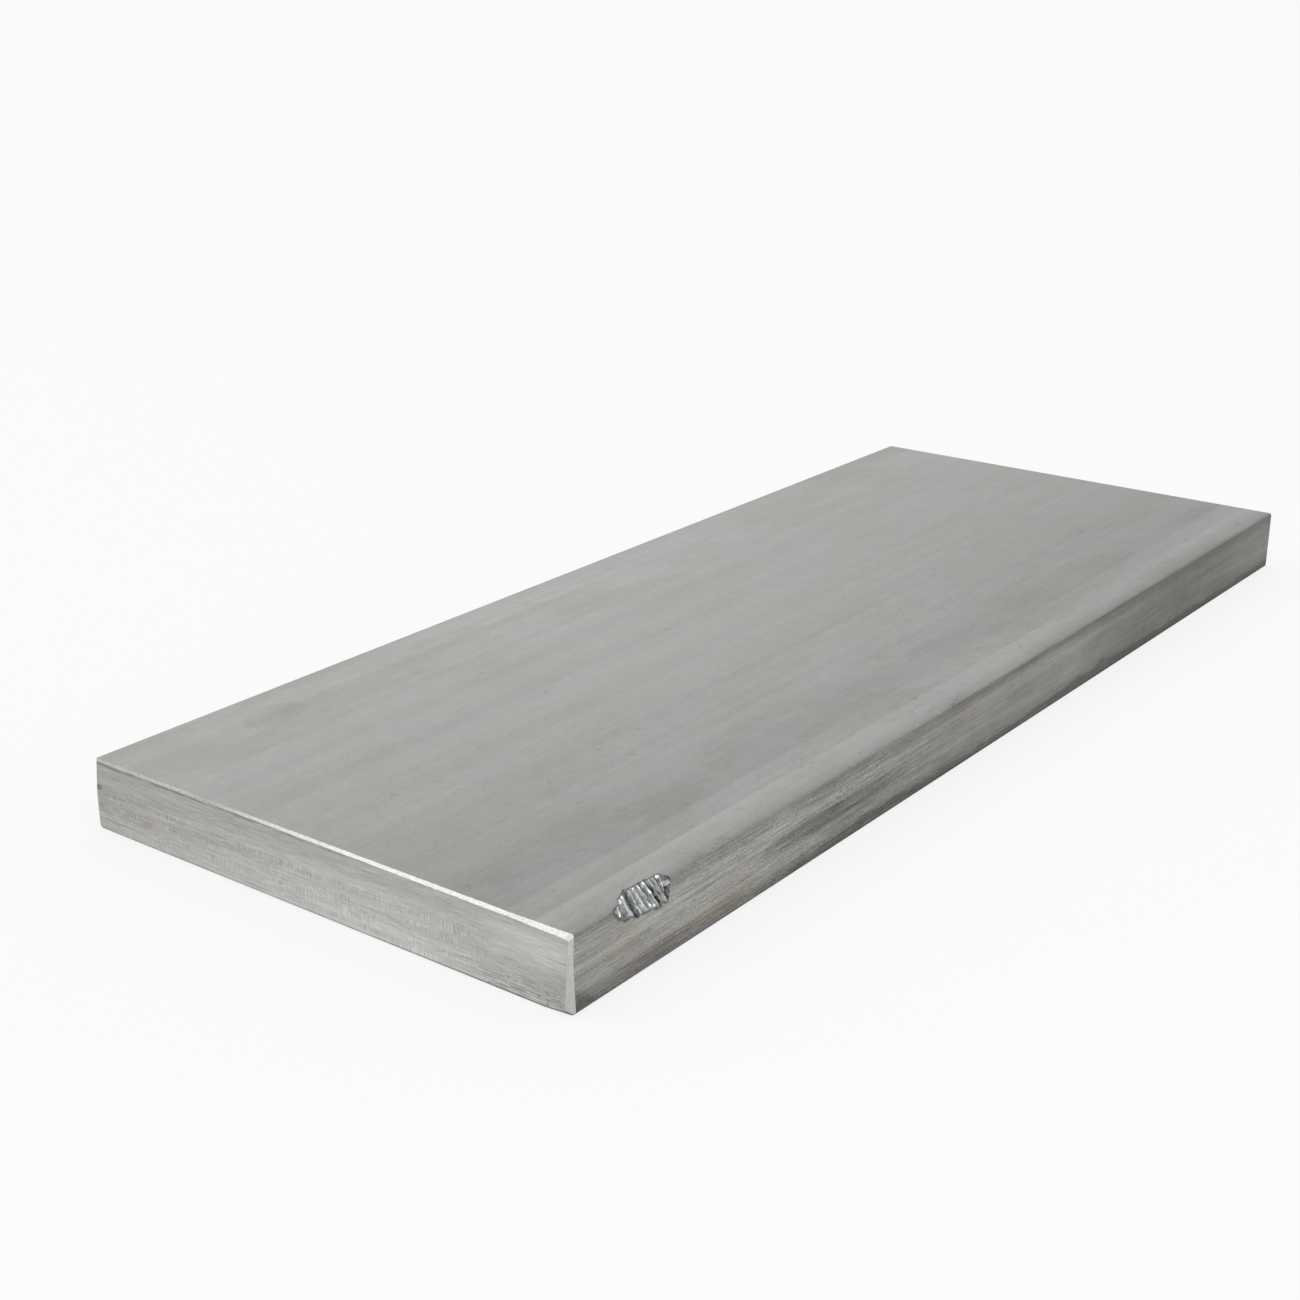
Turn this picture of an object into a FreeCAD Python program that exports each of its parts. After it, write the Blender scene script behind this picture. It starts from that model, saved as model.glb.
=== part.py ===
import FreeCAD, Part
import Sketcher
import math
import os

# Aluminium flat bar, 200 x 25 mm section, cut to 500 mm.
# Frame: origin at the bottom centre, X along the bar, Y across its width, Z up.
# The near end is at -X and the right side at -Y. Sizes are in millimetres or degrees.

os.makedirs("parts", exist_ok=True)
doc = FreeCAD.newDocument("FlatBar")


# Driving sizes

SIZES = [
    ("bar_length", 500.0, "cut length"),
    ("bar_width", 200.0, "width of the section"),
    ("bar_thickness", 25.0, "thickness of the section"),
    ("long_edge_radius", 1.0, "radius of the four long edges"),
    ("near_deburr", 0.2, "broken edges round the near end"),
    ("far_deburr", 0.4, "broken edges round the far end"),
    ("top_bevel_left", 0.65, "filed bevel over the near end, leg at the left side"),
    ("top_bevel_middle", 1.05, "the same bevel where its flare starts"),
    ("top_bevel_right", 1.8, "the same bevel at the right side"),
    ("top_bevel_flare", 22.0, "length of the flare, from the right side"),
    ("foot_bevel_left", 0.6, "filed bevel under the near end, leg at the left side"),
    ("foot_bevel_middle", 0.3, "the same bevel where its flare starts"),
    ("foot_bevel_right", 1.3, "the same bevel at the right side"),
    ("foot_bevel_flare", 10.0, "length of the flare, from the right side"),
    ("right_bevel_top_end", 0.7, "near right corner, leg on the end face, at the top"),
    ("right_bevel_top_side", 1.5, "near right corner, leg on the side, at the top"),
    ("right_bevel_foot_end", 2.4, "near right corner, leg on the end face, at the foot"),
    ("right_bevel_foot_side", 2.3, "near right corner, leg on the side, at the foot"),
    ("left_bevel_top", 1.6, "near left corner, both legs, at the top"),
    ("left_bevel_foot", 0.3, "near left corner, both legs, over its lower half"),
    ("far_bevel_top", 0.7, "far right corner, both legs, at the top"),
    ("far_bevel_foot", 1.0, "far right corner, both legs, at the foot"),
    ("bevel_margin", 1.0, "how far a bevel's cut stands outside the bar"),
    ("bite_from_end", 32.0, "where the bite's rounded end meets its flat floor, from the near end"),
    ("bite_radius", 21.0, "radius of the rounded end, along the edge"),
    ("bite_floor", 11.5, "length of the flat floor, from the rounded end to the wall"),
    ("bite_wall_slope", 70.0, "slope of the wall that ends the bite"),
    ("bite_on_top", 5.2, "reach of the bite onto the top face"),
    ("bite_on_side", 6.8, "reach of the bite down the side"),
    ("bite_margin", 3.0, "how far the bite's cut stands outside the edge"),
    ("tooth_slant", 10.0, "turn of the grooves from square across the edge"),
    ("tooth_pitch", 1.8, "distance from groove to groove"),
    ("tooth_width", 1.4, "width of a groove at the floor of the bite"),
    ("tooth_depth", 0.7, "depth of a groove below that floor"),
    ("round_teeth", 7, "grooves across the rounded end"),
    ("flat_teeth", 6, "grooves across the flat floor"),
]

sheet = doc.addObject("Spreadsheet::Sheet", "Sizes")
for row, (alias, value, meaning) in enumerate(SIZES, start=1):
    sheet.set("A%d" % row, alias)
    sheet.set("B%d" % row, str(value))
    sheet.set("C%d" % row, meaning)
    sheet.setAlias("B%d" % row, alias)
doc.recompute()

body = doc.addObject("PartDesign::Body", "flat_bar")
body.Label = "flat_bar"


# Helpers

START = 1
END = 2
CENTRE = 3
ROOT = (-1, START)
VERTICAL_AXIS = -2
NEAR = 0.01
X_DIRECTION = FreeCAD.Vector(1, 0, 0)
Y_DIRECTION = FreeCAD.Vector(0, 1, 0)
Z_DIRECTION = FreeCAD.Vector(0, 0, 1)


def origin_part(role):
    """Return the body's own origin plane or axis that has this role."""
    for feature in body.Origin.OriginFeatures:
        if feature.Role == role:
            return feature
    raise ValueError("no origin part " + role)


def attached(type_name, name, support):
    """Add a sketch or a datum plane that lies flat on its support."""
    feature = body.newObject(type_name, name)
    feature.AttachmentSupport = [(support, "")]
    feature.MapMode = "FlatFace"
    return feature


def closed_outline(sketch, points):
    """Draw lines round the points and join them end to end."""
    count = len(points)
    vectors = [FreeCAD.Vector(u, v, 0) for u, v in points]
    for i in range(count):
        sketch.addGeometry(Part.LineSegment(vectors[i], vectors[(i + 1) % count]), False)
    for i in range(count):
        sketch.addConstraint(Sketcher.Constraint("Coincident", i, END, (i + 1) % count, START))


def dimension(sketch, kind, first, second, side, expression):
    """Set how far the second point lies from the first, towards side (1 or -1)."""
    if side < 0:
        first, second = second, first
    offset = sketch.getPoint(*second) - sketch.getPoint(*first)
    now = offset.x if kind == "DistanceX" else offset.y
    index = sketch.addConstraint(Sketcher.Constraint(kind, *first, *second, now))
    sketch.setExpression("Constraints[%d]" % index, expression)


def edges_where(shape, wanted):
    """Names of the edges whose bounding box passes the test."""
    numbered = enumerate(shape.Edges, start=1)
    return ["Edge%d" % number for number, edge in numbered if wanted(edge.BoundBox)]


# The bar: a rectangle on the YZ plane, padded both ways along X

section = attached("Sketcher::SketchObject", "Section", origin_part("YZ_Plane"))
closed_outline(section, [(-90, 0), (90, 0), (90, 20), (-90, 20)])
for line in (0, 2):
    section.addConstraint(Sketcher.Constraint("Horizontal", line))
for line in (1, 3):
    section.addConstraint(Sketcher.Constraint("Vertical", line))
section.addConstraint(Sketcher.Constraint("Symmetric", 0, START, 0, END, *ROOT))
dimension(section, "DistanceX", (0, START), (0, END), 1, "Sizes.bar_width")
dimension(section, "DistanceY", (1, START), (1, END), 1, "Sizes.bar_thickness")

bar = body.newObject("PartDesign::Pad", "Bar")
bar.Profile = section
bar.Midplane = True
bar.setExpression("Length", "Sizes.bar_length")
doc.recompute()


# The four long edges, rounded

long_edges = body.newObject("PartDesign::Fillet", "LongEdges")
long_edges.Base = (bar, edges_where(
    bar.Shape, lambda box: box.YLength < NEAR and box.ZLength < NEAR))
long_edges.setExpression("Radius", "Sizes.long_edge_radius")
doc.recompute()


# Both ends, deburred all round

def deburr(name, base, wanted, size):
    """Break the edges of an end face."""
    chamfer = body.newObject("PartDesign::Chamfer", name)
    chamfer.Base = (base, edges_where(base.Shape, wanted))
    chamfer.setExpression("Size", size)
    doc.recompute()
    return chamfer


near_edges = deburr("NearDeburr", long_edges, lambda box: box.XMax < -NEAR, "Sizes.near_deburr")
far_edges = deburr("FarDeburr", near_edges, lambda box: box.XMin > NEAR, "Sizes.far_deburr")


# Filed bevels, each a cut lofted between right triangles set over a sharp edge

def bevel_section(name, plane, height, corner, sides, legs):
    """Right triangle over a corner of the bar, with its square corner just outside.

    corner gives how far out the corner lies and sides its signs. legs are what the
    bevel takes off the two faces, and the cut is carried on past both of them.
    """
    sketch = attached("Sketcher::SketchObject", name, origin_part(plane))
    sketch.setExpression(".AttachmentOffset.Base.z", height)
    u, v = sides
    closed_outline(sketch, [(9 * u, 9 * v), (6 * u, 9 * v), (9 * u, 6 * v)])
    sketch.addConstraint(Sketcher.Constraint("Horizontal", 0))
    sketch.addConstraint(Sketcher.Constraint("Vertical", 2))
    margin = "Sizes.bevel_margin"
    leg_u, leg_v = legs
    dimension(sketch, "DistanceX", ROOT, (0, START), u, "%s + %s" % (corner[0], margin))
    dimension(sketch, "DistanceY", ROOT, (0, START), v, "%s + %s" % (corner[1], margin))
    dimension(sketch, "DistanceX", (0, START), (0, END), -u,
              "%s + %s * (1 + %s / %s)" % (leg_u, margin, leg_u, leg_v))
    dimension(sketch, "DistanceY", (2, END), (2, START), -v,
              "%s + %s * (1 + %s / %s)" % (leg_v, margin, leg_v, leg_u))
    return sketch


def bevel(name, sections):
    """Cut the bevel that runs straight from section to section."""
    loft = body.newObject("PartDesign::SubtractiveLoft", name)
    loft.Profile = sections[0]
    loft.Sections = sections[1:]
    loft.Ruled = True
    doc.recompute()
    return loft


HALF_LENGTH = "Sizes.bar_length / 2"
HALF_WIDTH = "Sizes.bar_width / 2"
THICKNESS = "Sizes.bar_thickness"



def edge_bevel(name, level, side, size):
    """Cut a bevel along the near end's top or bottom edge, with a flare at the right."""
    stages = [
        ("Left", "-" + HALF_WIDTH, size + "_left"),
        ("Middle", "%s - %s_flare" % (HALF_WIDTH, size), size + "_middle"),
        ("Right", HALF_WIDTH, size + "_right"),
    ]
    return bevel(name, [
        bevel_section(name + stage, "XZ_Plane", place, (HALF_LENGTH, level), (-1, side), (leg, leg))
        for stage, place, leg in stages])


def corner_bevel(name, sides, stages):
    """Cut a bevel that changes width from the foot of an upright corner to its top."""
    corner = (HALF_LENGTH, HALF_WIDTH)
    return bevel(name, [
        bevel_section(name + stage, "XY_Plane", height, corner, sides, legs)
        for stage, height, legs in stages])


edge_bevel("TopBevel", THICKNESS, 1, "Sizes.top_bevel")
edge_bevel("FootBevel", "0", -1, "Sizes.foot_bevel")
corner_bevel("NearRight", (-1, -1), [
    ("Foot", "0", ("Sizes.right_bevel_foot_side", "Sizes.right_bevel_foot_end")),
    ("Top", THICKNESS, ("Sizes.right_bevel_top_side", "Sizes.right_bevel_top_end")),
])
corner_bevel("NearLeft", (-1, 1), [
    ("Foot", "0", ("Sizes.left_bevel_foot", "Sizes.left_bevel_foot")),
    ("Middle", THICKNESS + " / 2", ("Sizes.left_bevel_foot", "Sizes.left_bevel_foot")),
    ("Top", THICKNESS, ("Sizes.left_bevel_top", "Sizes.left_bevel_top")),
])
corner_bevel("FarRight", (1, -1), [
    ("Foot", "0", ("Sizes.far_bevel_foot", "Sizes.far_bevel_foot")),
    ("Top", THICKNESS, ("Sizes.far_bevel_top", "Sizes.far_bevel_top")),
])


# The bite in the top right edge: rounded at one end, then flat, and ended by a steep wall

FACET_TILT = "90 deg + atan2(Sizes.bite_on_side; Sizes.bite_on_top)"
FACET_DEPTH = ("Sizes.bite_on_top * Sizes.bite_on_side"
               " / sqrt(Sizes.bite_on_top ^ 2 + Sizes.bite_on_side ^ 2)")
BITE_TOP = "Sizes.bite_radius - %s - Sizes.bite_margin" % FACET_DEPTH

# The edge plane stands square to the bite's facet, along the sharp edge. The bite's own
# plane is the same one, raised to the centre of the rounded end.
edge_plane = attached("PartDesign::Plane", "EdgePlane", origin_part("XY_Plane"))
edge_plane.AttachmentOffset = FreeCAD.Placement(
    FreeCAD.Vector(), FreeCAD.Rotation(X_DIRECTION, 135))
edge_plane.setExpression(
    ".AttachmentOffset.Base.x", "-Sizes.bar_length / 2 + Sizes.bite_from_end")
edge_plane.setExpression(".AttachmentOffset.Base.y", "-Sizes.bar_width / 2")
edge_plane.setExpression(".AttachmentOffset.Base.z", THICKNESS)
edge_plane.setExpression(".AttachmentOffset.Rotation.Angle", FACET_TILT)

bite_plane = attached("PartDesign::Plane", "BitePlane", edge_plane)
bite_plane.setExpression(
    ".AttachmentOffset.Base.y", "Sizes.bite_radius - %s" % FACET_DEPTH)

tooth_plane = attached("PartDesign::Plane", "ToothPlane", bite_plane)
tooth_plane.AttachmentOffset = FreeCAD.Placement(
    FreeCAD.Vector(), FreeCAD.Rotation(Y_DIRECTION, 15))
tooth_plane.setExpression(".AttachmentOffset.Rotation.Angle", "Sizes.tooth_slant")


def cut_across(name, profile):
    """Cut the profile both ways across the edge, right through."""
    pocket = body.newObject("PartDesign::Pocket", name)
    pocket.Profile = profile
    pocket.Midplane = True
    pocket.Type = "ThroughAll"
    doc.recompute()
    return pocket


# Arc of the rounded end, flat floor, wall, and a line above the edge that closes them
hollow = attached("Sketcher::SketchObject", "Hollow", bite_plane)
circle = Part.Circle(FreeCAD.Vector(), Z_DIRECTION, 30)
hollow.addGeometry(Part.ArcOfCircle(circle, math.radians(225), math.radians(270)), False)
tip = hollow.getPoint(0, START)
floor_start = hollow.getPoint(0, END)
wall_foot = FreeCAD.Vector(9, -30, 0)
wall_top = FreeCAD.Vector(12, tip.y, 0)
hollow.addGeometry(Part.LineSegment(floor_start, wall_foot), False)
hollow.addGeometry(Part.LineSegment(wall_foot, wall_top), False)
hollow.addGeometry(Part.LineSegment(wall_top, tip), False)
for line in range(4):
    hollow.addConstraint(Sketcher.Constraint("Coincident", line, END, (line + 1) % 4, START))
hollow.addConstraint(Sketcher.Constraint("Coincident", 0, CENTRE, *ROOT))
hollow.addConstraint(Sketcher.Constraint("PointOnObject", 0, END, VERTICAL_AXIS))
for line in (1, 3):
    hollow.addConstraint(Sketcher.Constraint("Horizontal", line))
radius = hollow.addConstraint(Sketcher.Constraint("Radius", 0, 30))
hollow.setExpression("Constraints[%d]" % radius, "Sizes.bite_radius")
dimension(hollow, "DistanceY", ROOT, (0, START), -1, BITE_TOP)
dimension(hollow, "DistanceX", (1, START), (1, END), 1, "Sizes.bite_floor")
slope = hollow.addConstraint(Sketcher.Constraint("Angle", 2, math.radians(60)))
hollow.setExpression("Constraints[%d]" % slope, "Sizes.bite_wall_slope * 1 deg")
bite = cut_across("Bite", hollow)


# Grooves. The first lies where the rounded end meets the flat floor. Copies of it turn
# about the rounded end's axis, and others follow the edge towards the wall.

tooth = attached("Sketcher::SketchObject", "Tooth", tooth_plane)
closed_outline(tooth, [(0, -22), (2, -18), (-2, -18)])
tooth.addConstraint(Sketcher.Constraint("Symmetric", 1, START, 1, END, VERTICAL_AXIS))
tooth.addConstraint(Sketcher.Constraint("PointOnObject", 0, START, VERTICAL_AXIS))
dimension(tooth, "DistanceY", ROOT, (0, START), -1, "Sizes.bite_radius + Sizes.tooth_depth")
dimension(tooth, "DistanceY", ROOT, (1, START), -1, "Sizes.bite_radius - 2 * Sizes.tooth_depth")
dimension(tooth, "DistanceX", (1, END), (1, START), 1, "3 * Sizes.tooth_width")
groove = cut_across("Groove", tooth)

round_grooves = body.newObject("PartDesign::PolarPattern", "RoundGrooves")
round_grooves.Originals = [groove]
round_grooves.Axis = (tooth, ["N_Axis"])
round_grooves.Reversed = True
round_grooves.setExpression(
    "Angle", "(Sizes.round_teeth - 1) * Sizes.tooth_pitch / Sizes.bite_radius * 180 / pi")
round_grooves.setExpression("Occurrences", "Sizes.round_teeth")
body.Tip = round_grooves
doc.recompute()

flat_grooves = body.newObject("PartDesign::LinearPattern", "FlatGrooves")
flat_grooves.Originals = [groove]
flat_grooves.Direction = (origin_part("X_Axis"), [""])
flat_grooves.setExpression("Length", "(Sizes.flat_teeth - 1) * Sizes.tooth_pitch")
flat_grooves.setExpression("Occurrences", "Sizes.flat_teeth")
body.Tip = flat_grooves
doc.recompute()


# Every feature is sound and every cut takes metal off before the piece is written

volume = None
for feature in doc.Objects:
    if "Invalid" in feature.State or "Error" in feature.State:
        raise ValueError("%s: %s" % (feature.Name, feature.State))
    if feature.isDerivedFrom("PartDesign::Feature") and hasattr(feature, "BaseFeature"):
        if feature.Shape.isNull() or not feature.Shape.isValid():
            raise ValueError(feature.Name + " has no sound shape")
        if volume is not None and feature.Shape.Volume >= volume:
            raise ValueError(feature.Name + " cuts nothing")
        volume = feature.Shape.Volume
        print(feature.Name, feature.TypeId, round(volume, 2))
if len(body.Shape.Solids) != 1:
    raise ValueError("the bar isn't one solid")
body.Shape.exportStep("parts/%s.step" % body.Label)
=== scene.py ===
"""Looks of the aluminium flat bar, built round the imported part.

Frame: metres, origin at the bottom centre, X along the bar, Y across it, Z up.
The near end is at -X, the right side at -Y. The bar's sizes below are in millimetres, those
of the floor, the lights and the camera in metres.
"""
import math

import bmesh
import bpy
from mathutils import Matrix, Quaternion, Vector, noise


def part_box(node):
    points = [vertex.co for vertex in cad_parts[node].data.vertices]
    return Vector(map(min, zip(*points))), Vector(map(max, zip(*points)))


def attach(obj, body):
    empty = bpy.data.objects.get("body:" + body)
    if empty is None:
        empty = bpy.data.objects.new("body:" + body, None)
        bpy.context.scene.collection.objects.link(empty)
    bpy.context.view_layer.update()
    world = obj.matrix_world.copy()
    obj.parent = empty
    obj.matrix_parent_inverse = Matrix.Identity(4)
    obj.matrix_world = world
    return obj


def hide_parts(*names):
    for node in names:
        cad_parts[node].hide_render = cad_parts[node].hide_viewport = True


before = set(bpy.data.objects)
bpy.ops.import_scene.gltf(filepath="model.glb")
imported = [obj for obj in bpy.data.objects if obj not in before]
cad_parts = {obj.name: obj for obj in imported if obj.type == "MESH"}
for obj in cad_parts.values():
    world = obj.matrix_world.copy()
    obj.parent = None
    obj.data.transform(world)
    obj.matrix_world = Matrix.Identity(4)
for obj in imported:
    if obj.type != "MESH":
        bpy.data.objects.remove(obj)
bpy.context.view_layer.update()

MM = 0.001

# The bar's sizes

low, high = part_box("flat_bar")
LENGTH = (high.x - low.x) / MM
WIDTH = (high.y - low.y) / MM
THICKNESS = (high.z - low.z) / MM
HALF_L = LENGTH / 2
HALF_W = WIDTH / 2

EDGE_RADIUS = 1.0
FAR_DEBURR = 0.4
FILED_SWELL = 0.53                  # filed faces are very slightly full, 0.5 is flat

# legs of the filed bevels round the near end
TOP_BEVEL = (0.62, 0.95, 1.5)       # left, start of the flare, right
TOP_FLARE = 18.0
FOOT_BEVEL = (0.6, 0.3, 1.3)
FOOT_FLARE = 10.0
LEFT_BEVEL = (0.3, 1.6)             # up to half height, top
RIGHT_ON_END = (2.4, 0.7)           # foot, top
# the right bevel on the side, by height
RIGHT_ON_SIDE = [(0, 1.9), (6, 1.6), (12, 1.2), (16, 1.05), (21, 1.25), (25, 1.5)]

# leg of the filed bevel at the far right corner: foot, top
FAR_BEVEL = (1.0, 0.7)

# corner radii of the outlines left on the end faces: top right, bottom right, bottom left,
# top left
NEAR_RADII = (0.3, 0.7, 1.2, 0.8)
FAR_RADII = (1.2, 1.6, 1.0, 1.0)

BITE_FROM_END = 32.0                # where its rounded end meets the flat floor
BITE_RADIUS = 21.0
BITE_ON_TOP = 5.2
BITE_ON_SIDE = 6.8
WALL_FOOT = 12.2                    # from the start of the flat floor
WALL_SLOPE = math.radians(78)


def mix(a, b, t):
    return a + (b - a) * t


def clamp(value):
    return max(0.0, min(1.0, value))


def between(value, start, end):
    """0 at start, 1 at end, straight between them."""
    return clamp((value - start) / (end - start))


def table_at(table, at):
    """The values of a table's rows at a place, straight between them."""
    for before, after in zip(table, table[1:]):
        if at < after[0]:
            share = between(at, before[0], after[0])
            return [mix(a, b, share) for a, b in zip(before[1:], after[1:])]
    return table[-1][1:]


def random_at(*place):
    """A smooth random value, always the same at a place."""
    return noise.noise(Vector(place))


def wave(at, size, seed):
    """A smooth random value along a line, between about -1 and 1."""
    return random_at(at / size, seed, 0.0) * 1.6


# Mesh

ARC_STEPS = 6
TOP_STEP = 0.4
SIDE_STEP = 1.0
BOTTOM_STEP = 3.0

# plain rings between the bevels: how far from the end faces they start, where from the near
# end they stand close together for the bite, and their steps before, in and after that
RINGS_FROM_END = 4
BITE_RINGS = (17, 47)
RING_STEPS = (3.5, 1.0, 12.0)


def spaced(start, end, step):
    """Evenly spaced values from start to end, with both ends."""
    count = max(1, round(abs(end - start) / step))
    return [mix(start, end, i / count) for i in range(count + 1)]


def ring_plan():
    """The section's outline as (part, share) pairs, clockwise seen from the near end."""
    def flat(part, length, step):
        return [(part, t / length) for t in spaced(0, length, step)]

    def arc(part):
        return [(part, i / ARC_STEPS) for i in range(1, ARC_STEPS)]

    inner_w = WIDTH - 2 * EDGE_RADIUS
    inner_t = THICKNESS - 2 * EDGE_RADIUS
    return (flat("top", inner_w, TOP_STEP) + arc("top_right")
            + flat("right", inner_t, SIDE_STEP) + arc("bottom_right")
            + flat("bottom", inner_w, BOTTOM_STEP) + arc("bottom_left")
            + flat("left", inner_t, SIDE_STEP) + arc("top_left"))


# the sides before and after each corner, and the angle in degrees where its arc starts
CORNERS = {
    "top_right": ("top", "right", 90),
    "bottom_right": ("right", "bottom", 180),
    "bottom_left": ("bottom", "left", 270),
    "top_left": ("left", "top", 0),
}
# the order of the sides wherever four values stand for them
SIDE_INDEX = {"right": 0, "top": 1, "left": 2, "bottom": 3}


def ring_point(part, t, insets, radii):
    """(y, z) of a point of the outline, moved in by (right, top, left, bottom)."""
    right, top, left, bottom = insets
    radius = {corner: radii[i] for i, corner in enumerate(CORNERS)}

    def centre(corner):
        r = radius[corner]
        y = -HALF_W + right + r if corner.endswith("right") else HALF_W - left - r
        z = bottom + r if corner.startswith("bottom") else THICKNESS - top - r
        return y, z

    if part in CORNERS:
        angle = math.radians(CORNERS[part][2] + 90 * t)
        y, z = centre(part)
        return y + radius[part] * math.cos(angle), z + radius[part] * math.sin(angle)
    if part == "top":
        return mix(centre("top_left")[0], centre("top_right")[0], t), THICKNESS - top
    if part == "bottom":
        return mix(centre("bottom_right")[0], centre("bottom_left")[0], t), bottom
    if part == "right":
        return -HALF_W + right, mix(centre("top_right")[1], centre("bottom_right")[1], t)
    return HALF_W - left, mix(centre("bottom_left")[1], centre("top_left")[1], t)


def plain_point(part, t):
    """(y, z) of a point of the bar's own section."""
    return ring_point(part, t, (0, 0, 0, 0), (EDGE_RADIUS,) * 4)


def weights(part, t):
    """How much each side (right, top, left, bottom) rules this point of the outline."""
    shares = [0.0, 0.0, 0.0, 0.0]
    if part in SIDE_INDEX:
        shares[SIDE_INDEX[part]] = 1.0
    else:
        before, after, _ = CORNERS[part]
        shares[SIDE_INDEX[before]] = 1 - t
        shares[SIDE_INDEX[after]] = t
    return shares


def flared(across, legs, flare):
    """Leg of a bevel that changes slowly from the left side on and then flares."""
    start = WIDTH - flare
    if across < start:
        return mix(legs[0], legs[1], clamp(across / start))
    return mix(legs[1], legs[2], clamp((across - start) / flare))


def near_legs(y, z):
    """Legs of the near end's bevels at a place: on the end face, and along the bar."""
    up = clamp(z / THICKNESS)
    across = HALF_W - y
    top = flared(across, TOP_BEVEL, TOP_FLARE)
    top *= 1 + 0.10 * wave(y, 1.7, 3.0) + 0.07 * wave(y, 9.0, 5.0)
    foot = flared(across, FOOT_BEVEL, FOOT_FLARE) * (1 + 0.12 * wave(y, 3.0, 8.0))
    right_end = mix(*RIGHT_ON_END, up) * (1 + 0.07 * wave(z, 2.5, 9.0))
    right_side = table_at(RIGHT_ON_SIDE, z)[0] * (1 + 0.05 * wave(z, 3.0, 11.0))
    left = mix(LEFT_BEVEL[0], LEFT_BEVEL[1], between(up, 0.5, 1.0))
    return (right_end, top, left, foot), (right_side, top, left, foot)


def far_legs(y, z):
    """Legs of the far end's bevels, the same way."""
    right = mix(*FAR_BEVEL, clamp(z / THICKNESS))
    legs = (right, FAR_DEBURR, FAR_DEBURR, FAR_DEBURR)
    return legs, legs


def scallop(y):
    """The file's marks along the top bevel: how far they bite in."""
    phase = y / 1.35 + 0.5 * wave(y, 4.0, 21.0)
    return 0.06 * abs(math.sin(math.pi * phase)) ** 0.7 * (0.6 + 0.4 * wave(y, 6.0, 23.0))


def end_rings(plan, legs_at, x_end, inward, radii):
    """The outline left on an end face, the bevel's middle, and the outline behind it."""
    rings = [[], [], []]
    for part, t in plan:
        y, z = plain_point(part, t)
        on_end, along = legs_at(y, z)
        share = weights(part, t)
        leg = sum(w * s for w, s in zip(share, along))
        inner = ring_point(part, t, on_end, radii)
        dip = scallop(y) * share[SIDE_INDEX["top"]] if inward > 0 else 0.0
        rings[0].append((x_end, *inner))
        rings[1].append((x_end + inward * (leg * (1 - FILED_SWELL) + dip),
                         mix(inner[0], y, FILED_SWELL), mix(inner[1], z, FILED_SWELL) - dip))
        rings[2].append((x_end + inward * leg, y, z))
    return rings


def stations():
    """Where plain rings stand between the bevels, closer together along the bite."""
    bite_start, bite_end = [-HALF_L + place for place in BITE_RINGS]
    before, inside, after = RING_STEPS
    near = spaced(-HALF_L + RINGS_FROM_END, bite_start, before)
    bite = spaced(bite_start, bite_end, inside)
    rest = spaced(bite_end, HALF_L - RINGS_FROM_END, after)
    return near + bite[1:] + rest[1:]


plan = ring_plan()
rings = end_rings(plan, near_legs, -HALF_L, 1, NEAR_RADII)
rings += [[(x, *plain_point(part, t)) for part, t in plan] for x in stations()]
rings += end_rings(plan, far_legs, HALF_L, -1, FAR_RADII)[::-1]

BEVEL_STRIPS = 2                    # of faces, at each end
MATERIALS = ["mill", "end", "filed", "bite"]
SLOT = {name: index for index, name in enumerate(MATERIALS)}

mesh = bpy.data.meshes.new("flat_bar_finish")
bm = bmesh.new()
verts = [[bm.verts.new(point) for point in ring] for ring in rings]
count = len(plan)
for k in range(len(rings) - 1):
    in_bevel = k < BEVEL_STRIPS or k >= len(rings) - 1 - BEVEL_STRIPS
    for i in range(count):
        j = (i + 1) % count
        face = bm.faces.new((verts[k][i], verts[k + 1][i], verts[k + 1][j], verts[k][j]))
        face.material_index = SLOT["filed" if in_bevel else "mill"]
for ring in (verts[0], verts[-1][::-1]):
    face = bm.faces.new(ring)
    face.material_index = SLOT["end"]

# finer faces round the bite: how far they reach along the bar and beyond the facet, the cuts
# in an edge, and over which length an edge across the facet is cut so, or once
BITE_X = -HALF_L + BITE_FROM_END
FINE_ALONG = 14.6
FINE_BEYOND = 2.6
CUTS = 5
CUT_OFTEN_OVER = 0.5
CUT_ONCE_OVER = 0.3


def near_bite(edge):
    return all(-FINE_ALONG < v.co.x - BITE_X < FINE_ALONG
               and v.co.y < -HALF_W + BITE_ON_TOP + FINE_BEYOND
               and v.co.z > THICKNESS - BITE_ON_SIDE - FINE_BEYOND for v in edge.verts)


def runs_along(edge):
    a, b = edge.verts
    return abs(a.co.x - b.co.x) > 0.5 * (a.co - b.co).length


def refine(edges, cuts):
    bmesh.ops.subdivide_edges(bm, edges=edges, cuts=cuts, use_grid_fill=True)


refine([e for e in bm.edges if near_bite(e) and runs_along(e)], CUTS)
across = [(e, e.calc_length()) for e in bm.edges if near_bite(e) and not runs_along(e)]
refine([e for e, size in across if size > CUT_OFTEN_OVER], CUTS)
refine([e for e, size in across if CUT_ONCE_OVER < size <= CUT_OFTEN_OVER], 1)

# The bite: metal above its floor is pressed down to it. Places in it are given along the
# edge from the start of the flat floor, and across the facet from the sharp corner down.
reach = math.hypot(BITE_ON_TOP, BITE_ON_SIDE)
NORMAL = Vector((0, -BITE_ON_SIDE, BITE_ON_TOP)) / reach
ACROSS = Vector((0, -BITE_ON_TOP, -BITE_ON_SIDE)) / reach
FLOOR_DEPTH = BITE_ON_TOP * BITE_ON_SIDE / reach
CORNER = Vector((BITE_X, -HALF_W, THICKNESS))

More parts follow.
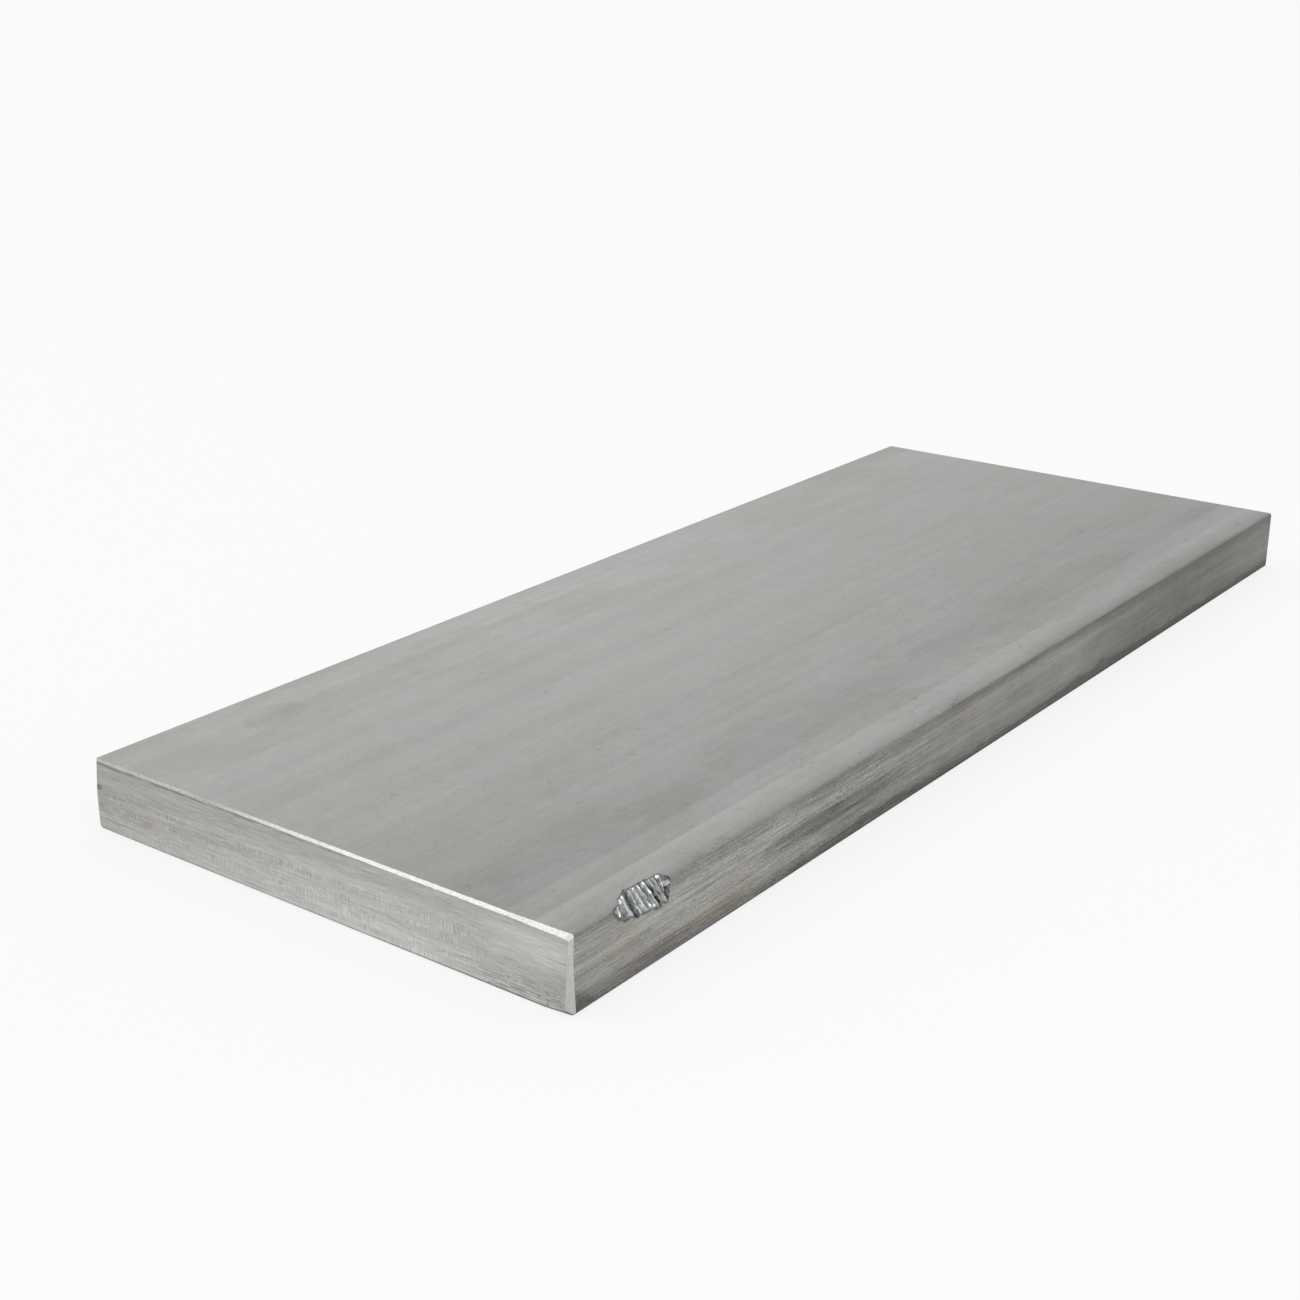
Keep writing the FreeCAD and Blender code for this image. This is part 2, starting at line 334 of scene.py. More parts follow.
# by place along: how far the floor lies over its plain shape, and how that changes across
# the facet
FLOOR_LIFT = [(-13.6, -0.75, -0.34), (-11.3, -0.05, -0.45), (-9.8, 0.2, -0.38),
              (-6.6, 0.05, -0.06), (-4.0, 0.0, 0.03), (0.0, 0.05, 0.0), (5.0, 0.15, -0.04),
              (10.0, 0.5, -0.12), (14.0, 0.5, -0.12)]

# crests from the near end to the wall: place at the top and at the foot of the facet, depth
# of the hollow after it, how far that hollow leans to the wall, and between which places
# across the crest stands full
CRESTS = [
    (-15.0, -14.0, 0.3, 1.3, -4, 6),
    (-12.9, -12.3, 0.3, 1.3, -4, 6),
    (-10.8, -9.8, 0.6, 1.3, -4, 6),
    (-5.6, -5.0, 1.1, 2.4, -4, 6),
    (-0.6, -0.9, 0.35, 1.0, -2, 6),
    (1.0, 2.0, 0.30, 1.3, -4, 2),
    (2.9, 5.0, 0.55, 1.0, -4, 1),
    (5.4, 7.4, 1.25, 1.8, -4, 4),
    (7.6, 9.2, 0.35, 1.3, -4, 6),
    (9.4, 11.0, 0.5, 1.3, -1, 4),
    (11.8, 13.1, 0.4, 1.0, -4, 4),
    (14.5, 15.5, 0.4, 1.0, -4, 6),
    (17.0, 18.0, 0.4, 1.0, -4, 6),
]
# about where the facet's upper and lower edges lie, across it
FACET_TOP = -3.2
FACET_FOOT = 5.4

# raised chips of metal, coloured near white as painted glints: place along and across, half length
# and half width
CHIPS = [
    (-7.0, -1.2, 0.95, 0.85), (-4.3, -1.5, 0.95, 1.10), (-10.2, 1.9, 0.40, 1.10),
    (3.5, -1.7, 0.30, 1.30), (5.6, -2.4, 0.42, 0.75), (6.25, 0.8, 0.35, 0.75),
    (7.2, 2.6, 0.60, 0.55), (6.2, 4.8, 0.45, 0.45), (11.4, -1.8, 0.75, 0.45),
    (12.4, 1.0, 0.45, 0.75), (-0.8, 3.6, 0.24, 1.40),
]
CHIP_LEAN = 0.15
CHIP_RISE = 0.12
CREST_RISE = 0.34

# random relief of the torn floor: strength, size along and across, seed
TORN = [(0.13, 0.40, 2.4, 4.0), (0.18, 1.0, 1.2, 14.0), (0.25, 3.0, 2.0, 24.0)]
FULL_RELIEF = -1.8                  # height of the floor from which down the relief is full
NO_FLOOR = 1e6                      # a height that no point of the bar reaches
RIM_REACH = 0.4                     # how far from the bite's edge its rim is felt

# points further from the bite than this, along the bar and across, aren't looked at
LOOKED_ALONG = 16
LOOKED_ACROSS = 12


def crest_at(index, v):
    """Where a crest lies along the floor, and how far its top is worn down."""
    at_top, at_foot, depth, _, start, end = CRESTS[index]
    place = mix(at_top, at_foot, (v - FACET_TOP) / (FACET_FOOT - FACET_TOP))
    place += 0.35 * random_at(v / 2.2, index * 7.3, 5.0)
    full = between(v, start - 1.2, start) * between(v, end + 1.5, end)
    worn = 0.5 * depth * (1 - full)
    worn += 0.15 * random_at(v / 1.1, index * 3.1, 9.0)
    return place, worn


def ridges(u, v):
    """How deep a point of the ridged floor lies in its hollow, from 0 to 1 and in mm."""
    before = crest_at(0, v)
    for index in range(1, len(CRESTS)):
        after = crest_at(index, v)
        if before[0] <= u < after[0]:
            deepest, lean = CRESTS[index - 1][2:4]
            share = (u - before[0]) / (after[0] - before[0])
            bowl = 1 - abs(2 * share ** lean - 1) ** 1.6
            depth = deepest * (0.9 + 0.6 * random_at(index * 5.3, v / 2.6, 7.0))
            inside = between(v, FACET_TOP - 0.6, -1.2) * between(v, FACET_FOOT + 0.8, 3.6)
            depth *= mix(0.5, 1.0, inside)
            return bowl * min(1.0, depth), mix(before[1], after[1], share) + bowl * depth
        before = after
    return 0.0, 0.0


def bite_floor(u, v):
    """Height of the bite's floor, how recessed it is, and how much it is a raised chip with a
    painted glint.
    """
    if u <= -BITE_RADIUS:
        return NO_FLOOR, 0.0, 0.0
    height = BITE_RADIUS - math.sqrt(BITE_RADIUS ** 2 - min(u, 0.0) ** 2) - FLOOR_DEPTH
    torn_share = between(height, 0.0, FULL_RELIEF)
    lift, tilt = table_at(FLOOR_LIFT, u)
    height += lift + tilt * v + max(0.0, u - WALL_FOOT) * math.tan(WALL_SLOPE)
    share, depth = ridges(u, v)
    torn = sum(strength * random_at(u / size_along, v / size_across, seed)
               for strength, size_along, size_across, seed in TORN)
    chip_and_glint = chip_at(u, v)
    relief = CREST_RISE - depth + torn + CHIP_RISE * chip_and_glint
    return height + torn_share * relief, share * (1 - chip_and_glint), chip_and_glint


def chip_at(u, v):
    """1 on a raised chip of metal, which the bite's colour paints as a glint, 0 off it."""
    chip_and_glint = 0.0
    for place, across_at, half_length, half_width in CHIPS:
        lean = CHIP_LEAN * (v - across_at)
        off = math.hypot((u - place - lean) / half_length, (v - across_at) / half_width)
        chip_and_glint = max(chip_and_glint, between(off, 1.15, 0.75))
    return chip_and_glint


recess = bm.verts.layers.float.new("recess")
chip_glint_layer = bm.verts.layers.float.new("chip_and_glint")
rim_shade_layer = bm.verts.layers.float.new("rim")
for vert in bm.verts:
    offset = vert.co - CORNER
    if (not -LOOKED_ALONG < offset.x < LOOKED_ALONG or vert.co.y > -HALF_W + LOOKED_ACROSS
            or vert.co.z < THICKNESS - LOOKED_ACROSS):
        continue
    height = offset.dot(NORMAL)
    floor_height, share, chip_and_glint = bite_floor(offset.x, offset.dot(ACROSS))
    # the painted rim shade is strongest where a point lies at the bite's edge
    vert[rim_shade_layer] = between(abs(height - floor_height), RIM_REACH, 0.0)
    if height > floor_height:
        vert.co += NORMAL * (floor_height - height)
        vert[recess] = share
        vert[chip_glint_layer] = chip_and_glint
        vert.tag = True
for face in bm.faces:
    if all(v.tag for v in face.verts):
        face.material_index = SLOT["bite"]

bmesh.ops.recalc_face_normals(bm, faces=bm.faces)
bmesh.ops.scale(bm, vec=(MM, MM, MM), verts=bm.verts)
for face in bm.faces:
    face.smooth = True
bm.to_mesh(mesh)
bm.free()
SHARP_ANGLE = math.radians(28)
mesh.set_sharp_from_angle(angle=SHARP_ANGLE)
bar = bpy.data.objects.new("flat_bar_finish", mesh)
bpy.context.scene.collection.objects.link(bar)


# Materials

# Tones are display levels, from 0 to 255. Places are in millimetres: x from the near end, y
# from the right side, z from the foot. A mark is its level times the shares, from 0 to 1,
# that say where it lies. A noise is told by its size along x, y and z and its seed.
DISPLAY_GAMMA = 2.2
WARM_STEP = (0.5, 0.1, -1.0)        # what one level of warmth adds to red, green and blue
SEED_STEP = (3.1, 1.7, 0.3)         # how far one step of the seed moves a noise
# painted shade: the bite's rim is darkened for the shadow of its burr
RIM_SHADE = -60.0                   # along the bite's edge


class Graph:
    """A material's node tree, with short calls for what repeats."""

    def __init__(self, name):
        self.material = bpy.data.materials.new(name)
        self.material.use_nodes = True
        self.tree = self.material.node_tree
        self.tree.nodes.clear()
        coordinates = self.add("TexCoord")
        scaled = self.add("VectorMath", operation="SCALE")
        self.link(coordinates.outputs["Object"], scaled.inputs[0])
        scaled.inputs["Scale"].default_value = 1 / MM
        self.place = scaled.outputs[0]
        split = self.add("SeparateXYZ")
        self.link(self.place, split.inputs[0])
        self.x = self.maths("ADD", split.outputs[0], HALF_L)
        self.y = self.maths("ADD", split.outputs[1], HALF_W)
        self.z = split.outputs[2]
        facing = self.add("SeparateXYZ")
        self.link(coordinates.outputs["Normal"], facing.inputs[0])
        self.upward = facing.outputs[2]

    def add(self, kind, **settings):
        made = self.tree.nodes.new("ShaderNode" + kind)
        for name, value in settings.items():
            setattr(made, name, value)
        return made

    def link(self, output, socket):
        self.tree.links.new(output, socket)

    def put(self, value, socket):
        if isinstance(value, bpy.types.NodeSocket):
            self.link(value, socket)
        else:
            socket.default_value = value

    def maths(self, operation, *values):
        made = self.add("Math", operation=operation)
        for value, socket in zip(values, made.inputs):
            self.put(value, socket)
        return made.outputs[0]

    def total(self, *values):
        result = values[0]
        for value in values[1:]:
            result = self.maths("ADD", result, value)
        return result

    def product(self, *values):
        result = values[0]
        for value in values[1:]:
            result = self.maths("MULTIPLY", result, value)
        return result

    def blend(self, first, second, share):
        """first where share is 0, second where it is 1."""
        made = self.add("Mix", data_type="FLOAT")
        self.put(share, made.inputs[0])
        self.put(first, made.inputs[2])
        self.put(second, made.inputs[3])
        return made.outputs[0]

    def noise(self, size, seed, detail=2.0, roughness=0.55):
        """Noise with features of this size in mm along each axis, from -1 to 1."""
        shrink = self.add("VectorMath", operation="DIVIDE")
        self.link(self.place, shrink.inputs[0])
        shrink.inputs[1].default_value = size
        shift = self.add("VectorMath", operation="ADD")
        self.link(shrink.outputs[0], shift.inputs[0])
        shift.inputs[1].default_value = [seed * length for length in SEED_STEP]
        texture = self.add("TexNoise")
        self.link(shift.outputs[0], texture.inputs["Vector"])
        texture.inputs["Scale"].default_value = 1.0
        texture.inputs["Detail"].default_value = detail
        texture.inputs["Roughness"].default_value = roughness
        return self.maths("MULTIPLY_ADD", texture.outputs["Fac"], 2.0, -1.0)

    def step(self, value, start, end):
        """0 at start to 1 at end, smoothly. start may be the larger."""
        made = self.add("MapRange", interpolation_type="SMOOTHSTEP")
        self.put(value, made.inputs["Value"])
        made.inputs["From Min"].default_value = min(start, end)
        made.inputs["From Max"].default_value = max(start, end)
        if start > end:
            made.inputs["To Min"].default_value = 1.0
            made.inputs["To Max"].default_value = 0.0
        return made.outputs["Result"]

    def round_place(self, value, middle, outer, inner):
        """1 up to the inner distance from the middle, 0 from the outer one on."""
        off = self.maths("ABSOLUTE", self.maths("SUBTRACT", value, middle))
        return self.step(off, outer, inner)

    def levels(self, value, stops):
        """A level by place, from (millimetres, level) pairs in rising order."""
        first, last = stops[0][0], stops[-1][0]
        lowest = min(level for _, level in stops)
        spread = max(level for _, level in stops) - lowest
        share = self.add("MapRange")
        self.put(value, share.inputs["Value"])
        share.inputs["From Min"].default_value = first
        share.inputs["From Max"].default_value = last
        ramp = self.add("ValToRGB")
        elements = ramp.color_ramp.elements
        while len(elements) < len(stops):
            elements.new(0.5)
        for element, (at, level) in zip(elements, stops):
            element.position = (at - first) / (last - first)
            element.color = ((level - lowest) / spread,) * 3 + (1,)
        self.link(share.outputs["Result"], ramp.inputs["Fac"])
        return self.maths("MULTIPLY_ADD", ramp.outputs["Color"], spread, lowest)

    def attribute(self, name):
        return self.add("Attribute", attribute_name=name).outputs["Fac"]

    def finish(self, tone, tint, warmth, roughness, relief, relief_mm):
        """Close the tree. Tone and warmth are in display levels."""
        shader = self.add("BsdfPrincipled")
        colour = self.add("CombineColor")
        for channel, (factor, warm) in enumerate(zip(tint, WARM_STEP)):
            value = self.maths("MULTIPLY_ADD", warmth, warm, tone)
            self.link(self.maths("MULTIPLY", value, factor / 255), colour.inputs[channel])
        gamma = self.add("Gamma")
        gamma.inputs["Gamma"].default_value = DISPLAY_GAMMA
        self.link(colour.outputs[0], gamma.inputs["Color"])
        self.link(gamma.outputs[0], shader.inputs["Base Color"])
        shader.inputs["Metallic"].default_value = 1.0
        self.put(roughness, shader.inputs["Roughness"])
        bump = self.add("Bump")
        bump.inputs["Strength"].default_value = 1.0
        bump.inputs["Distance"].default_value = relief_mm * MM
        self.link(relief, bump.inputs["Height"])
        self.link(bump.outputs[0], shader.inputs["Normal"])
        output = self.add("OutputMaterial")
        self.link(shader.outputs[0], output.inputs["Surface"])
        return self.material


def top_tone(g):
    """Mill finish of the two wide faces: smooth, with soft bands along the bar."""
    above = g.step(g.z, 10, 20)
    calm = calm_share(g)
    return g.total(*top_ground(g), *top_bands(g, above), *top_marks(g, above, calm),
                   *top_clouds(g, calm))


def calm_share(g):
    """How much of the clouds shows: less in the top's middle, which the photo hides."""
    return g.blend(1.0, 0.45, g.product(g.step(g.y, 40, 62), g.step(g.y, 172, 152)))


def top_ground(g):
    """The level across the bar, darker to the far end, lighter at the near right corner."""
    return [
        g.levels(g.y, [(0, 138), (3, 138), (6, 147), (8, 147), (12, 152), (20, 152), (24, 149),
                       (30, 150), (60, 156), (100, 161), (165, 166), (190, 169), (198, 168),
                       (200, 160)]),
        g.product(g.step(g.x, 160, 500), -11.0),
        g.product(g.step(g.x, 40, 10), g.step(g.y, 22, 19), g.step(g.y, 9, 12), 3.0),
    ]


def top_bands(g, above):
    """Light strips along the right edge, the outer one on the upper face alone."""
    edge_band = g.product(above, g.step(g.y, 13.8, 13.2), g.total(
        g.levels(g.x, [(0, 4), (30, 5), (60, 9), (110, 9), (160, 6), (350, 3), (500, 4)]),
        g.product(g.step(g.y, 8, 11), g.step(g.x, 120, 50), 6.0)))
    second_band = g.product(g.step(g.y, 25, 22.3), 5.0)
    return [edge_band, second_band]


def top_marks(g, above, calm):
    """Patches, smears, scratches and spots."""
    patches = g.product(g.step(g.noise((60, 22, 20), 25.0, detail=4.0), -0.06, 0.12), calm, -5.0)
    blotch = g.product(g.step(g.noise((6, 3.5, 9), 20.0, detail=2.0), 0.36, 0.5), -11.0)
    smears = g.product(g.noise((5, 14, 20), 26.0, detail=4.0), 4.0)
    rolled = g.product(g.noise((300, 0.7, 9), 27.0, detail=3.0), 5.0)
    smudge = g.product(
        g.step(g.noise((7, 2.2, 4), 21.0, detail=5.0, roughness=0.65), 0.06, 0.45),
        g.step(g.noise((60, 14, 4), 22.0), -0.15, 0.3),
        g.step(g.y, 34, 4), -24.0)
    scratch = g.product(g.step(g.noise((45, 0.35, 4), 23.0, detail=3.0), 0.32, 0.48), -12.0)
    spot = g.product(g.step(g.noise((1.3, 0.7, 4), 24.0, detail=4.0), 0.40, 0.52), -26.0)
    rim = g.product(g.step(g.y, 2.8, 1.0), g.step(g.noise((22, 30, 9), 28.0, detail=3.0), -0.4, 0.3),
                    -12.0)
    return [patches, smears, rolled, smudge, scratch, spot, rim, blotch,
            g.product(dull_disc(g), above, -6.5)]


def dull_disc(g):
    """The round dull spot near the near left corner, from 0 to 1."""
    across_disc = [(g.x, 61.0, 13.0), (g.y, 181.0, 8.0)]
    squares = [g.maths("POWER", g.maths("DIVIDE", g.maths("SUBTRACT", value, middle), reach), 2.0)
               for value, middle, reach in across_disc]
    return g.step(g.total(*squares, g.product(g.noise((9, 5, 9), 29.0), 0.5)), 1.15, 0.8)


def top_clouds(g, calm):
    """Clouds of all sizes, from long soft ones to the finest grain."""
    near_side = g.step(g.y, 90, 30)
    return [
        g.product(g.noise((400, 5, 4), 1.0), 8.0),
        g.product(g.noise((50, 18, 20), 2.0), g.blend(5.0, 8.0, near_side), calm),
        g.product(g.noise((14, 6, 5), 3.0, detail=3.0), 4.0),
        g.product(g.noise((3, 1.6, 5), 5.0), 4.0),
        g.product(g.noise((0.8, 0.6, 0.5), 4.0, detail=3.0), 13.0),
    ]


def side_tone(g):
    """The long sides: streaked along the bar, stained, and dark along the foot."""
    drift = g.product(g.noise((45, 9, 3.0), 6.0, detail=3.0), 1.4)
    height = g.maths("ADD", g.z, drift)
    return g.total(*side_ground(g, height), *side_streaks(g), *side_marks(g, height),
                   *side_foot(g, drift))


def side_ground(g, height):
    """The level up the side and along it, with a dark strip and lighter ones near the top."""
    # partly painted shade: these levels lie below the wide faces' ones for how light falls on the
    # side
    base = g.levels(height, [(0, 114), (2.5, 118), (5, 124), (7.5, 134), (11, 136), (15, 136),
                             (19, 140), (21.5, 133), (23.5, 127), (25, 124)])
    along = g.levels(g.x, [(0, 12), (30, 17), (95, 17), (130, 3), (230, 0), (300, -1),
                           (350, -20), (400, -27), (440, -26), (475, -16), (500, -14)])
    middle = g.blend(0.5, 1.0, g.product(g.step(g.z, 2, 8), g.step(g.z, 25, 20)))
    upper = g.total(
        g.product(g.step(g.z, 20.5, 23.0), g.blend(4.0, -11.0, g.step(g.x, 110, 250))),
        g.product(g.step(g.z, 11, 14), g.step(g.z, 21.5, 20), g.step(g.x, 105, 75), 6.0),
        g.product(g.step(g.z, 15.5, 16.3), g.step(g.z, 21.5, 20), g.step(g.x, 82, 98),
                  g.step(g.x, 150, 128), 7.0))
    return [base, g.product(along, middle), upper]


def side_streaks(g):
    """Streaks and fine lines along the bar, crisper on its near half."""
    fade = g.blend(1.0, 0.75, g.step(g.x, 150, 380))
    crisp = g.levels(g.x, [(0, 1.4), (30, 1.5), (60, 1.9), (90, 2.2), (160, 2.2), (200, 1.2),
                           (240, 1.0), (500, 1.0)])
    streaks = g.total(
        g.product(g.noise((80, 9, 1.1), 2.0), 20.0),
        g.product(crisp, g.total(
            g.product(g.noise((34, 9, 0.30), 1.0, detail=3.0), 20.0),
            g.product(g.noise((10, 9, 0.22), 3.0, detail=3.0), 24.0))))
    lines = g.product(g.step(g.noise((50, 9, 0.26), 4.0, detail=2.0), 0.28, 0.42), crisp, -26.0)
    grain = g.product(crisp, g.step(g.x, 450, 120), g.total(
        g.product(g.noise((0.8, 9, 0.35), 5.0, detail=3.0), 20.0),
        g.product(g.step(g.noise((0.9, 9, 0.45), 7.0, detail=3.0), 0.28, 0.44), -34.0)))
    # gives back what crisper dark lines take from the level
    level_kept = g.maths("MULTIPLY_ADD", crisp, 1.8, -1.8)
    return [g.product(streaks, fade), g.product(lines, fade), grain, level_kept]


def side_marks(g, height):
    """Specks, blotches, the stain with a sharp upper edge, and the brown smear."""
    # small dark specks in the upper half, and one cluster of them
    specks = g.product(g.step(g.noise((1.3, 9, 0.8), 33.0, detail=3.0), 0.28, 0.40),
                       g.step(g.z, 9, 14), g.step(g.x, 60, 95), g.step(g.x, 215, 170), -26.0)
    cluster = g.product(g.step(g.noise((1.4, 9, 0.9), 34.0, detail=3.0), 0.05, 0.25),
                        g.round_place(g.x, 138.0, 9, 3), g.round_place(g.z, 17.8, 1.8, 0.8),
                        -30.0)
    blotch = g.total(g.product(g.noise((24, 9, 6), 8.0, detail=3.0), 14.0),
                     g.product(g.noise((5, 9, 8), 11.0, detail=3.0), 7.0))
    stain = g.product(
        g.step(g.z, 15.7, 15.3),
        g.step(height, 9.0, 10.6),
        g.step(g.x, 82, 112), g.step(g.x, 188, 150),
        g.blend(-20.0, -34.0, g.step(g.noise((30, 9, 0.9), 9.0), -0.3, 0.3)))
    smear = g.product(smear_share(g), -15.0)
    return [specks, cluster, blotch, stain, smear]


def side_foot(g, drift):
    """The dark wavy foot, the dark heel at its near end, and the painted shade of both long edges,
    partly dirt at the lower one.
    """
    foot_line = g.total(
        g.levels(g.x, [(0, 3.0), (110, 2.6), (150, 4.4), (170, 4.8), (200, 3.2), (260, 3.0),
                       (290, 4.4), (318, 4.8), (327, 6.4), (336, 4.4), (420, 3.8), (500, 3.4)]),
        g.product(g.noise((13, 9, 50), 10.0, detail=4.0, roughness=0.7), 2.4))
    over_foot = g.maths("SUBTRACT", g.z, foot_line)
    foot = g.product(g.total(g.product(g.step(over_foot, 0.3, -0.3), -17.0),
                             g.product(g.step(over_foot, 2.5, -1.5), -10.0)),
                     g.blend(0.45, 1.0, g.step(g.x, 60, 150)))
    ragged = g.product(g.noise((4, 9, 1.5), 35.0, detail=3.0), 1.8)
    heel = g.product(g.step(g.z, 0.4, 1.6), g.total(
        g.product(g.step(g.total(g.z, g.product(g.x, 0.35), g.product(drift, 1.5)), 9.5, 6.0),
                  -4.0),
        g.product(g.step(g.total(g.z, g.product(g.x, 0.75), ragged), 10.0, 8.2), -17.0),
        g.product(g.round_place(g.x, 35.0, 15, 7), g.step(g.total(g.z, ragged), 6.6, 4.6),
                  -7.0)))
    # painted shade along the upper long edge
    rim = g.product(g.step(g.z, 24.2, 24.7), -12.0)
    # painted shade, partly dirt: the lower long edge by the floor's contact shadow
    underside = g.product(g.step(g.z, 1.8, 0.6), g.blend(-8.0, -28.0, g.step(g.x, 60, 220)))
    return [foot, heel, rim, underside]


def smear_share(g):
    """Where the brown smear lies, low on the side near its end, from 0 to 1."""
    return g.product(g.step(g.x, 15, 35), g.step(g.x, 100, 70), g.step(g.z, 7.6, 6.6),
                     g.step(g.z, 3.0, 4.5), g.step(g.noise((25, 9, 0.6), 12.0), -0.5, 0.1))


def mill_material():
    """Mill finish: the wide faces and the long sides, blended over the rounded edges. The long sides
    are darker than the wide faces, partly dirt and partly painted shade for how light falls on them.
    """
    g = Graph("mill")
    share = g.total(g.step(g.upward, 0.25, 0.9), g.step(g.upward, -0.92, -0.995))
    # painted shadow of the bite's burr, along its edge
    painted_rim_shade = g.product(g.attribute("rim"), RIM_SHADE)
    tone = g.total(g.blend(side_tone(g), top_tone(g), share), painted_rim_shade)
    brown = g.total(g.maths("MULTIPLY_ADD", g.noise((20, 9, 2.0), 30.0), 8.0, 3.2),
                    g.product(smear_share(g), 4.0))
    cool = g.total(g.product(g.noise((60, 22, 20), 25.0, detail=4.0), calm_share(g), 5.0), 0.8)
    warmth = g.blend(brown, cool, share)
    relief = g.blend(g.noise((30, 9, 0.3), 31.0), g.noise((30, 0.5, 9), 32.0), share)
    return g.finish(tone, (1.0, 1.0, 0.99), warmth, g.blend(0.46, 0.38, share), relief, 0.008)


def end_ground(g):
    """The level across the end and up it."""
    base = g.levels(g.y, [(0, 158), (4, 166), (20, 174), (60, 185), (100, 182), (140, 174),
                          (190, 166), (200, 162)])
    upper = g.product(g.step(g.z, 14, 22),
                      g.levels(g.y, [(0, 0), (30, -2), (60, -10), (110, -9), (160, -3), (200, -1)]))
    lower = g.product(g.step(g.z, 10, 2), 11.0)
    right = g.product(g.step(g.y, 48, 3), g.step(g.z, 7, 15), g.step(g.z, 24, 21.5), 22.0)
    return [base, upper, lower, right]


def end_streaks(g):
    """Streaks across the bar, and dark lines in patches."""
    streaks = g.total(
        g.product(g.noise((9, 13, 0.26), 1.0, detail=4.0), 26.0),
        g.product(g.noise((9, 60, 1.2), 2.0, detail=2.0), 15.0),
        g.product(g.noise((9, 4, 0.22), 3.0, detail=3.0), 26.0),
        g.product(g.noise((9, 12, 3.0), 16.0, detail=3.0), 10.0),
    )
    line_mask = g.step(g.noise((9, 40, 3.0), 4.0), -0.3, 0.2)
    lines = g.product(g.step(g.noise((9, 34, 0.24), 5.0, detail=2.0), 0.26, 0.40), line_mask, -44.0)
    return [streaks, lines]


def end_hatch(g):
    """Fine upright hatching, in patches."""
    hatch_mask = g.product(g.step(g.noise((9, 22, 3.0), 6.0, detail=2.0), -0.35, 0.2),
                           g.step(g.z, 18, 14), g.step(g.y, 22, 45))
    return g.product(g.noise((9, 0.40, 4.0), 7.0, detail=2.0), hatch_mask)


def end_marks(g):
    """The painted shadow under the top bevel's burr, a darker line along the foot, and dark marks at
    its right and at the left edge.
    """
    # painted shadow of the burr under the top bevel
    painted_burr_shadow = g.product(g.step(g.z, 23.0, 23.5), g.step(g.z, 24.7, 24.2),
                            g.step(g.y, 60, 110), g.step(g.noise((9, 9, 0.7), 9.0), -0.3, 0.2),
                            -32.0)
    base_line = g.product(g.step(g.z, 1.0, 0.4), -55.0)
    clump = g.total(
        g.product(g.step(g.noise((9, 6.0, 0.28), 10.0, detail=3.0), -0.05, 0.25), -40.0),
        g.product(g.step(g.noise((9, 1.2, 0.9), 17.0, detail=4.0), 0.12, 0.36), -40.0))
    clump = g.product(g.total(clump, 6.0), g.step(g.y, 42, 26), g.step(g.y, 2.0, 4.0),
                      g.step(g.z, 8.0, 4.0))
    corner = g.product(g.step(g.noise((9, 6, 0.4), 11.0, detail=3.0), -0.1, 0.4),
                       g.step(g.y, 34, 22), g.step(g.z, 14, 9), -10.0)
    notch = g.product(g.round_place(g.z, 15.2, 1.3, 0.3), g.step(g.y, 195.5, 199), -48.0)
    return [painted_burr_shadow, base_line, clump, corner, notch]


def end_stain(g):
    """Where the brown stain near the left edge lies, from 0 to 1."""
    return g.product(g.round_place(g.y, 181.0, 11, 4), g.round_place(g.z, 8.0, 1.8, 0.4),
                     g.step(g.noise((9, 4, 0.8), 12.0), -0.3, 0.3))


def end_material():
    """The sawn and filed ends: streaks across the bar, with fine upright hatching."""
    g = Graph("filed_end")
    hatch = end_hatch(g)
    stain = end_stain(g)
    grain = g.product(g.noise((9, 0.9, 0.26), 8.0, detail=3.0), 20.0)
    spots = g.product(g.step(g.noise((9, 0.9, 0.6), 13.0, detail=3.0), 0.42, 0.54), -36.0)
    tone = g.total(*end_ground(g), *end_streaks(g), g.product(hatch, 50.0), grain, *end_marks(g),
                   g.product(stain, -18.0), spots)
    warmth = g.total(2.6, g.product(stain, 8.0), g.product(g.noise((9, 14, 2.0), 14.0), 3.0))
    relief = g.total(g.noise((9, 30, 0.3), 15.0), g.product(hatch, 0.8))
    return g.finish(tone, (1.0, 1.0, 1.0), warmth, 0.4, relief, 0.012)


def filed_material():
    """Fresh filed metal on the bevels, with a painted highlight on the upward-facing ones near the
    end and painted shade on the downward-facing foot bevel.
    """
    g = Graph("filed")
    # painted highlight: upward-facing bevels near the near end are lighter
    painted_highlight_share = g.product(g.step(g.upward, 0.15, 0.3), g.step(g.x, 20, 10))
    upright = g.total(
        g.levels(g.z, [(0, 176), (1.2, 184), (12, 187), (25, 190)]),
        g.product(g.noise((0.4, 0.4, 7), 4.0, detail=3.0), 18.0))
    # painted shade: the downward-facing foot bevel is darker
    painted_foot_shade = g.product(g.step(g.upward, -0.12, -0.35), g.step(g.x, 20, 10), -90.0)
    tone = g.total(
        g.blend(upright, g.levels(g.y, [(0, 216), (85, 214), (110, 200), (125, 188), (145, 158),
                                        (160, 172), (200, 166)]), painted_highlight_share),
        painted_foot_shade,
        g.product(g.noise((0.8, 0.8, 0.8), 1.0, detail=3.0), 14.0),
        g.product(g.noise((0.5, 0.9, 0.5), 2.0, detail=2.0), g.blend(4.0, 30.0, painted_highlight_share)),
    )
    relief = g.noise((0.6, 1.0, 0.6), 3.0)
    return g.finish(tone, (1.0, 1.0, 1.0), 2.5, 0.34, relief, 0.03)


